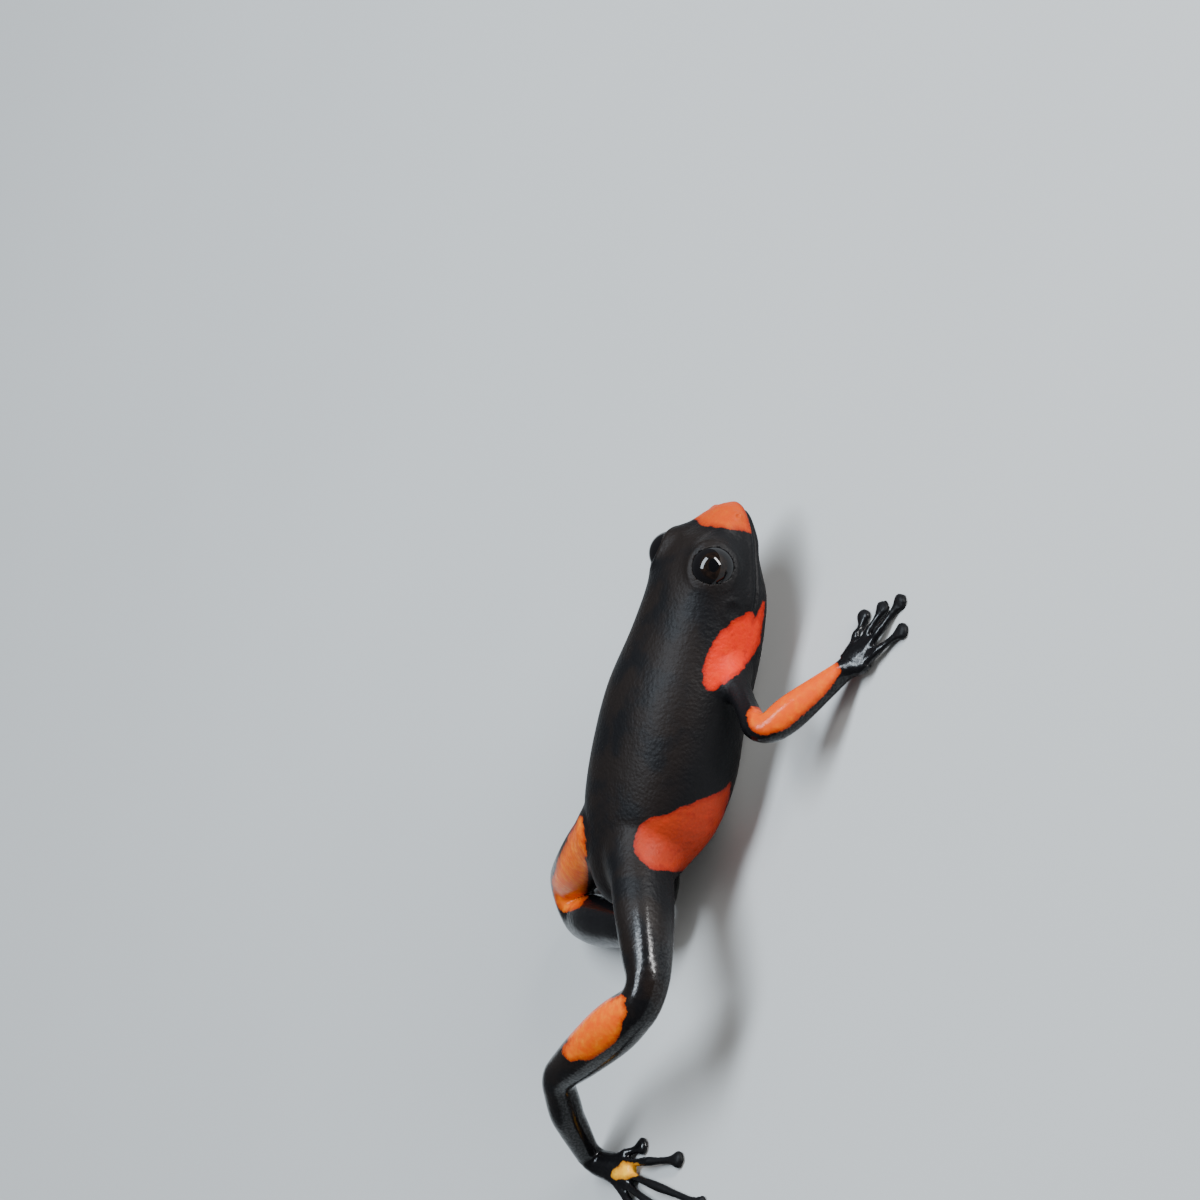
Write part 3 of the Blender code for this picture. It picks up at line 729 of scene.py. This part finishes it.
def markSkin():
    inside = np.full(len(skinPoints), markings["outside"])
    warmth, paintedShade, gloss = np.zeros((3, len(skinPoints)))
    weight = np.full(len(skinPoints), 1e-6)

    def mark(name, amount):
        nonlocal inside, warmth, paintedShade, weight
        inside = np.maximum(inside, amount)
        share = np.exp(np.clip(amount, -2, 1) * 4)
        warmth = warmth + share * markings["warmth"][name]
        paintedShade = paintedShade + share * markings["paintedShade"].get(name, 0)
        weight = weight + share

    shares = {key: limbShares(limb) for key, limb in limbs.items()}
    outward = np.stack([-skinNormals[:, 1], -skinNormals[:, 0], skinNormals[:, 2]], axis=1)
    facing = outward @ photoView["toward"]
    mirroredFacing = (outward * (1, -1, 1)) @ photoView["toward"]
    mirrored = skinPoints * (1, -1, 1) + (0, 0, markings["leftLower"])
    for side, points, turned in (("right", skinPoints, facing), ("left", mirrored, mirroredFacing)):
        x, y, scale = onPhotograph(points)
        sideways = np.clip(points[:, 1] * 2, -2, 1)
        for name, kind in (("shoulder", "arm"), ("flank", "leg")):
            reach, length = shares[kind, side]
            offLimb = np.where(length > markings["limbLeavesBody"][kind], reach, skin["far"])
            amount = np.max([strokeInside(x, y, stroke) for stroke in markings[name]], axis=0) / scale
            amount = np.minimum(np.minimum(amount, sideways), offLimb - markings["clearOfLimb"])
            mark(name, np.minimum(amount, turned * 4 + markings["bodyWrap"]))
    ahead, right, up = skinPoints.T
    across, _ = mouthAcross(ahead, right, up)
    behind = markings["snoutFrom"] + markings["snoutSlope"] * np.abs(right)
    mark("snout", np.minimum(ahead - behind, across - markings["clearOfMouth"]))
    x, y, scale = onPhotograph(skinPoints)
    for (kind, side, part), stroke in markings["shown"].items():
        limb = limbs[kind, side]
        reach, length = shares[kind, side]
        start, end = limb.spans[part]
        spill = markings["spill"].get(part, markings["spill"]["other"])
        near = np.minimum(markings["limbReach"] - reach, np.minimum(length - start, end - length) + spill)
        onSeenSide = (skinPoints - limb.at(length)) @ photoView["toward"]
        seen = np.minimum(facing * 4 + markings["wrap"][side], onSeenSide * 2 + markings["bodyWrap"])
        mark(part, np.minimum(np.minimum(strokeInside(x, y, stroke) / scale, near), seen))
    for (kind, side, part), stroke in markings["unseen"].items():
        limb = limbs[kind, side]
        stops = [(limb.onSurface(part, share, turn), width) for share, turn, width in stroke]
        amount = np.full(len(skinPoints), markings["outside"])
        for (first, r0), (second, r1) in zip(stops, stops[1:]):
            line = second - first
            share = np.clip((skinPoints - first) @ line / (line @ line), 0, 1)
            reach = np.linalg.norm(skinPoints - first - share[:, None] * line, axis=1)
            amount = np.maximum(amount, r0 + (r1 - r0) * share - reach)
        mark(part, amount)
    # The limbs are glossier than the body, and turn so over their first few mm.
    for (kind, side), (reach, length) in shares.items():
        clear = length - markings["limbLeavesBody"][kind]
        gloss = np.maximum(gloss, np.clip(clear / 4, 0, 1) * np.clip((3.6 - reach) / 0.8, 0, 1))
    values = {"marking": inside, "warmth": warmth / weight, "paintedShade": paintedShade / weight, "gloss": gloss}
    for name, column in values.items():
        attribute = skinPiece.data.attributes.new(name, "FLOAT", "POINT")
        attribute.data.foreach_set("value", column.astype(np.float32))


skinNormals = perPoint(skinPiece.data, "normal")
markSkin()
print("markings are on the skin")
flesh = [row["node"] for row in frame["record"]["subparts"] if not row["node"].startswith("eye")]
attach(skinPiece, "root")
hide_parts(*flesh)


def sceneWay(way):
    return Vector((-way[1], -way[0], way[2]))


class Term:
    # An output of a shader node, or the sum of some, so that a pattern is written with ordinary signs.
    def __init__(self, nodes, socket):
        self.nodes, self.socket = nodes, socket

    def maths(self, operation, *terms):
        return self.nodes.make("ShaderNodeMath", {"operation": operation}, terms)

    def __add__(self, other):
        return self.maths("ADD", self, other)

    def __sub__(self, other):
        return self.maths("SUBTRACT", self, other)

    def __rsub__(self, other):
        return self.maths("SUBTRACT", other, self)

    def __mul__(self, other):
        return self.maths("MULTIPLY", self, other)

    def __truediv__(self, other):
        return self.maths("DIVIDE", self, other)

    def __pow__(self, other):
        return self.maths("POWER", self, other)

    __radd__ = __add__

    def rising(self, low, high):
        # 0 below one value and 1 above the other, smooth between them.
        return self.nodes.make("ShaderNodeMapRange", {"interpolation_type": "SMOOTHSTEP"},
                               (self, low, high, 0, 1))


class Nodes:
    # The nodes of one material.
    def __init__(self, name, **constants):
        self.material = bpy.data.materials.new(name)
        self.material.use_nodes = True
        self.tree = self.material.node_tree
        self.shader = self.tree.nodes["Principled BSDF"]
        self.fill(**constants)

    def feed(self, socket, value):
        if isinstance(value, Term):
            self.tree.links.new(value.socket, socket)
        elif isinstance(value, tuple) and socket.type == "RGBA":
            socket.default_value = (*value, 1)
        else:
            socket.default_value = value

    def make(self, kind, settings=None, values=(), output=0):
        node = self.tree.nodes.new(kind)
        for key, value in (settings or {}).items():
            setattr(node, key, value)
        pairs = values.items() if isinstance(values, dict) else enumerate(values)
        for key, value in pairs:
            self.feed(node.inputs[key], value)
        return Term(self, node.outputs[output])

    def fill(self, **values):
        # Sets or links inputs of the shader.
        for key, value in values.items():
            self.feed(self.shader.inputs[key.replace("_", " ")], value)
        return self.material

    def attribute(self, name):
        return self.make("ShaderNodeAttribute", {"attribute_name": name}, (), "Fac")

    def vector(self, operation, *terms, output=0):
        return self.make("ShaderNodeVectorMath", {"operation": operation}, terms, output)

    def inMillimetres(self, middle=(0, 0, 0)):
        where = self.make("ShaderNodeTexCoord", output="Object")
        away = self.vector("SUBTRACT", where, tuple(middle))
        return self.make("ShaderNodeVectorMath", {"operation": "SCALE"}, {0: away, "Scale": 1000.0})

    def noise(self, where, scale, detail=2.0, roughness=0.5):
        return self.make("ShaderNodeTexNoise", None,
                         {"Vector": where, "Scale": scale, "Detail": detail, "Roughness": roughness}, "Fac")

    def grains(self, where, scale, softness=0.6):
        settings = {"feature": "SMOOTH_F1"}
        return self.make("ShaderNodeTexVoronoi", settings,
                         {"Vector": where, "Scale": scale, "Smoothness": softness}, "Distance")

    def mix(self, share, first, second):
        node = self.tree.nodes.new("ShaderNodeMix")
        node.data_type = "RGBA"
        for place, value in zip((0, 6, 7), (share, first, second)):
            self.feed(node.inputs[place], value)
        return Term(self, node.outputs[2])

    def bump(self, height, strength, distance):
        values = {"Height": height, "Strength": strength, "Distance": distance}
        return self.make("ShaderNodeBump", None, values, "Normal")


skinLook = {
    "black": (0.004, 0.0038, 0.0044),
    # The lighter brownish black below is a painted reflection on top of the back and crown.
    "reflectedBrown": (0.0085, 0.0058, 0.0048),
    "deepRed": (0.17, 0.006, 0.003),
    "brick": (0.3, 0.027, 0.008),
    "redOrange": (0.6, 0.014, 0.0),
    "orange": (0.72, 0.074, 0.0),
    "yellow": (1.0, 0.56, 0.02),
    "ragged": (0.42, 0.2),              # how far the patches' edges wander, broadly and finely
    "hueVaries": 0.7,
    "redEdge": 0.62,
    "mottled": 0.5,
    "grain": 3.0,                       # grains in a mm
    "relief": (0.5, 0.35, 0.8),         # of the grains, the fine and the middling unevenness
    "reliefOn": (1.7, 0.9),             # on the body, and how much less on a limb
    "bump": (0.55, 0.00006),
    "roughness": 0.5,
    "limbSmoother": 0.26,
    "coat": (0.4, 0.1),                 # the wet film's finely broken part and its even part
    "patchDrier": 0.75,
    "reflectionFrom": (7.0, 10.5),            # the painted brownish reflection on top of the back and crown begins between these heights, mm
}


def skinMaterial():
    look = skinLook
    nodes = Nodes("frog_skin", Specular_IOR_Level=0.13, Coat_Roughness=0.13)
    where = nodes.inMillimetres()
    broad = nodes.noise(where, 0.35, 3.0)
    middling = nodes.noise(where, 1.3, 3.0, 0.6)
    fine = nodes.noise(where, 5.0, 2.0)
    grains = nodes.grains(where, look["grain"])
    gloss = nodes.attribute("gloss")
    broadly, finely = look["ragged"]
    marking = nodes.attribute("marking") + (middling - 0.5) * broadly + (fine - 0.5) * finely - 0.02
    shown = marking.rising(-0.05, 0.09)
    warmth = nodes.attribute("warmth") + (middling - 0.5) * look["hueVaries"]
    # Low warmth gives the darker brick red, which on the flank is painted shade.
    colour = nodes.mix(warmth.rising(0.0, 1.0), look["brick"], look["redOrange"])
    colour = nodes.mix(warmth.rising(1.0, 2.0), colour, look["orange"])
    # High warmth gives the lighter yellow, which on the left thigh and the foot is partly painted light.
    colour = nodes.mix(warmth.rising(1.9, 3.1), colour, look["yellow"])
    # Painted shade: patches such as the snout's and forearm's are darkened toward black.
    colour = nodes.mix(nodes.attribute("paintedShade"), colour, look["black"])
    # The markings are darker and redder along their edges, and the flank's is mottled.
    colour = nodes.mix((1 - marking.rising(0.0, 0.55)) * look["redEdge"], colour, look["deepRed"])
    mottled = nodes.noise(where, 0.9, 4.0, 0.65).rising(0.54, 0.72)
    reddish = 1 - nodes.attribute("warmth").rising(1.05, 1.5)
    colour = nodes.mix(mottled * reddish * look["mottled"], colour, look["deepRed"])
    # Painted reflection: high on the back and crown the black turns a lighter brownish black in broad
    # patches.
    height = nodes.vector("DOT_PRODUCT", where, (0, 0, 1), output="Value")
    paintedReflection = height.rising(*look["reflectionFrom"]) * broad.rising(0.36, 0.6)
    colour = nodes.mix(shown, nodes.mix(paintedReflection, look["black"], look["reflectedBrown"]), colour)
    roughness = look["roughness"] + (broad - 0.5) * 0.12 - gloss * look["limbSmoother"]
    broken, even = look["coat"]
    coat = gloss * (1 - shown * look["patchDrier"]) * (fine.rising(0.4, 0.64) * broken + even)
    ofGrains, ofFine, ofMiddling = look["relief"]
    relief = (0.5 - grains) * ofGrains + (fine - 0.5) * ofFine + (middling - 0.5) * ofMiddling
    onBody, lessOnLimb = look["reliefOn"]
    relief = relief * (onBody - gloss * lessOnLimb)
    return nodes.fill(Base_Color=colour, Roughness=roughness, Coat_Weight=coat,
                      Normal=nodes.bump(relief, *look["bump"]))


eyeLook = {
    "pupil": (0.62, 0.46),              # half width and half height, mm
    "iris": (1.15, 1.55),               # squared distances between which it darkens, mm2
    "black": (0.0015, 0.0015, 0.002),
    "darkBrown": (0.004, 0.0025, 0.002),
    "brown": (0.011, 0.006, 0.004),
    "rim": (0.004, 0.0035, 0.004),
}


def eyeMaterial(side):
    centre, looks = eyeAxes(side)
    middle = toScene(centre[None])[0]
    front = sceneWay(looks).normalized()
    level = front.cross(Vector((0, 0, 1))).normalized()
    rise = level.cross(front)
    nodes = Nodes("eye_" + ("right" if side > 0 else "left"), Roughness=0.04, Specular_IOR_Level=0.32)
    where = nodes.inMillimetres(middle)
    across, up, out = (nodes.vector("DOT_PRODUCT", where, tuple(way), output="Value")
                       for way in (level, rise, front))
    look = eyeLook
    halfWidth, halfHeight = look["pupil"]
    pupil = ((across / halfWidth) ** 2.0 + (up / halfHeight) ** 2.0).rising(0.85, 1.15)
    ring = (across * across + up * up).rising(*look["iris"])
    streaks = nodes.noise(where, 3.0, 3.0).rising(0.35, 0.7)
    colour = nodes.mix(pupil, look["black"], nodes.mix(streaks, look["darkBrown"], look["brown"]))
    beyond = (ring + 1 - out.rising(0.0, 0.6)).rising(0.0, 1.0)
    return nodes.fill(Base_Color=nodes.mix(beyond, colour, look["rim"]))


skinPiece.data.materials.append(skinMaterial())
print("skin is coloured")


def makeEye(side):
    centre, looks = eyeAxes(side)
    name = "eyeball_" + ("right" if side > 0 else "left")
    across = np.cross(looks, (0, 0, 1))
    across /= np.linalg.norm(across)
    rise = np.cross(across, looks)
    rings, sectors = ((40, 64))
    points, faces = [centre + looks * head["eyeRadius"]], []
    for k in range(1, rings):
        polar = math.pi * k / rings
        for n in range(sectors):
            turn = 2 * math.pi * n / sectors
            outward = across * math.cos(turn) + rise * math.sin(turn)
            way = looks * math.cos(polar) + outward * math.sin(polar)
            points.append(centre + way * head["eyeRadius"])
    points.append(centre - looks * head["eyeRadius"])
    last = len(points) - 1
    for n in range(sectors):
        following = (n + 1) % sectors
        faces.append((0, 1 + n, 1 + following))
        faces.append((last, last - sectors + following, last - sectors + n))
        for k in range(rings - 2):
            row = 1 + k * sectors
            faces.append((row + n, row + sectors + n, row + sectors + following, row + following))
    mesh = bpy.data.meshes.new(name)
    mesh.from_pydata([tuple(point) for point in toScene(np.array(points))], [], faces)
    work = bmesh.new()
    work.from_mesh(mesh)
    bmesh.ops.recalc_face_normals(work, faces=work.faces)
    work.to_mesh(mesh)
    work.free()
    mesh.shade_smooth()
    mesh.materials.append(eyeMaterial(side))
    piece = added(name, mesh)
    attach(piece, "root")
    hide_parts("eye_right" if side > 0 else "eye_left")


makeEye(1)
makeEye(-1)
print("eyes are in")


def makeCamera():
    right, up, toward = (sceneWay(photoView[name]).normalized() for name in ("right", "up", "toward"))
    place = Vector(shift) + toward * photoView["distance"] * mm
    middle = 600
    offX, offY = middle - photoView["pixelOfFloorPoint"][0], photoView["pixelOfFloorPoint"][1] - middle
    looking = (right * offX + up * offY - toward * photoView["pixelsPerUnit"]).normalized()
    level = (up - looking * up.dot(looking)).normalized()
    sideways = looking.cross(level)
    camera = added("camera", bpy.data.cameras.new("camera"))
    camera.data.sensor_width = photoView["sensor"]
    camera.data.lens = photoView["sensor"] * photoView["pixelsPerUnit"] / (2 * middle)
    camera.data.clip_start = 0.01
    turn = Matrix((sideways, level, -looking)).transposed().to_4x4()
    camera.matrix_world = Matrix.Translation(place) @ turn
    bpy.context.scene.camera = camera


studio = {
    # Long soft panels: the directions of their two ends, width and power. Both show in the eye.
    "leftPanel": {"ends": [(0.037, -0.615, 0.694), (0.065, 0.188, 0.981)], "width": 0.14, "power": 5.4,
                  "colour": (0.8, 0.9, 1.0)},
    "rightPanel": {"ends": [(-0.344, -0.881, 0.397), (-0.863, -0.502, 0.05)], "width": 0.07, "power": 4.4,
                   "colour": (1.0, 1.0, 1.0)},
    "distance": 0.5,
    "aim": (0.0, 0.0, 6.0),             # where the panels point, on the frog
    "sky": (0.82, 0.86, 0.92),
    "skyStrength": 0.17,
    "floorHalf": 3.0,
    "floorGreys": [(0.44, 0.44, 0.43), (0.475, 0.475, 0.463)],
}


def makePanel(name):
    # A flat light in the middle between its two end directions, as long as the angle between them.
    look = studio[name]
    first, last = (Vector(end).normalized() for end in look["ends"])
    way = (first + last).normalized()
    along = (last - first).normalized()
    light = added(name, bpy.data.lights.new(name, "AREA"))
    light.data.shape = "RECTANGLE"
    light.data.size = look["width"]
    light.data.size_y = 2 * studio["distance"] * math.tan(first.angle(last) / 2)
    light.data.energy = look["power"]
    light.data.color = look["colour"]
    target = Vector(toScene(np.array([studio["aim"]]))[0])
    turn = Matrix((along.cross(way), along, way)).transposed().to_4x4()
    light.matrix_world = Matrix.Translation(target + way * studio["distance"]) @ turn
    light.visible_camera = False


def makeSky():
    world = bpy.data.worlds.new("studio")
    world.use_nodes = True
    background = world.node_tree.nodes["Background"]
    background.inputs["Color"].default_value = (*studio["sky"], 1)
    background.inputs["Strength"].default_value = studio["skyStrength"]
    bpy.context.scene.world = world


def makeFloor():
    nodes = Nodes("floor", Roughness=0.85)
    colour = nodes.mix(nodes.noise(nodes.inMillimetres(), 0.02, 2.0), *studio["floorGreys"])
    half = studio["floorHalf"]
    floorMesh = bpy.data.meshes.new("floor")
    floorMesh.from_pydata([(-half, -half, 0), (half, -half, 0), (half, half, 0), (-half, half, 0)], [],
                          [(0, 1, 2, 3)])
    floorMesh.materials.append(nodes.fill(Base_Color=colour))
    floor = added("floor", floorMesh)


makeCamera()
makePanel("leftPanel")
makePanel("rightPanel")
makeSky()
makeFloor()
print("floor and lights are in")
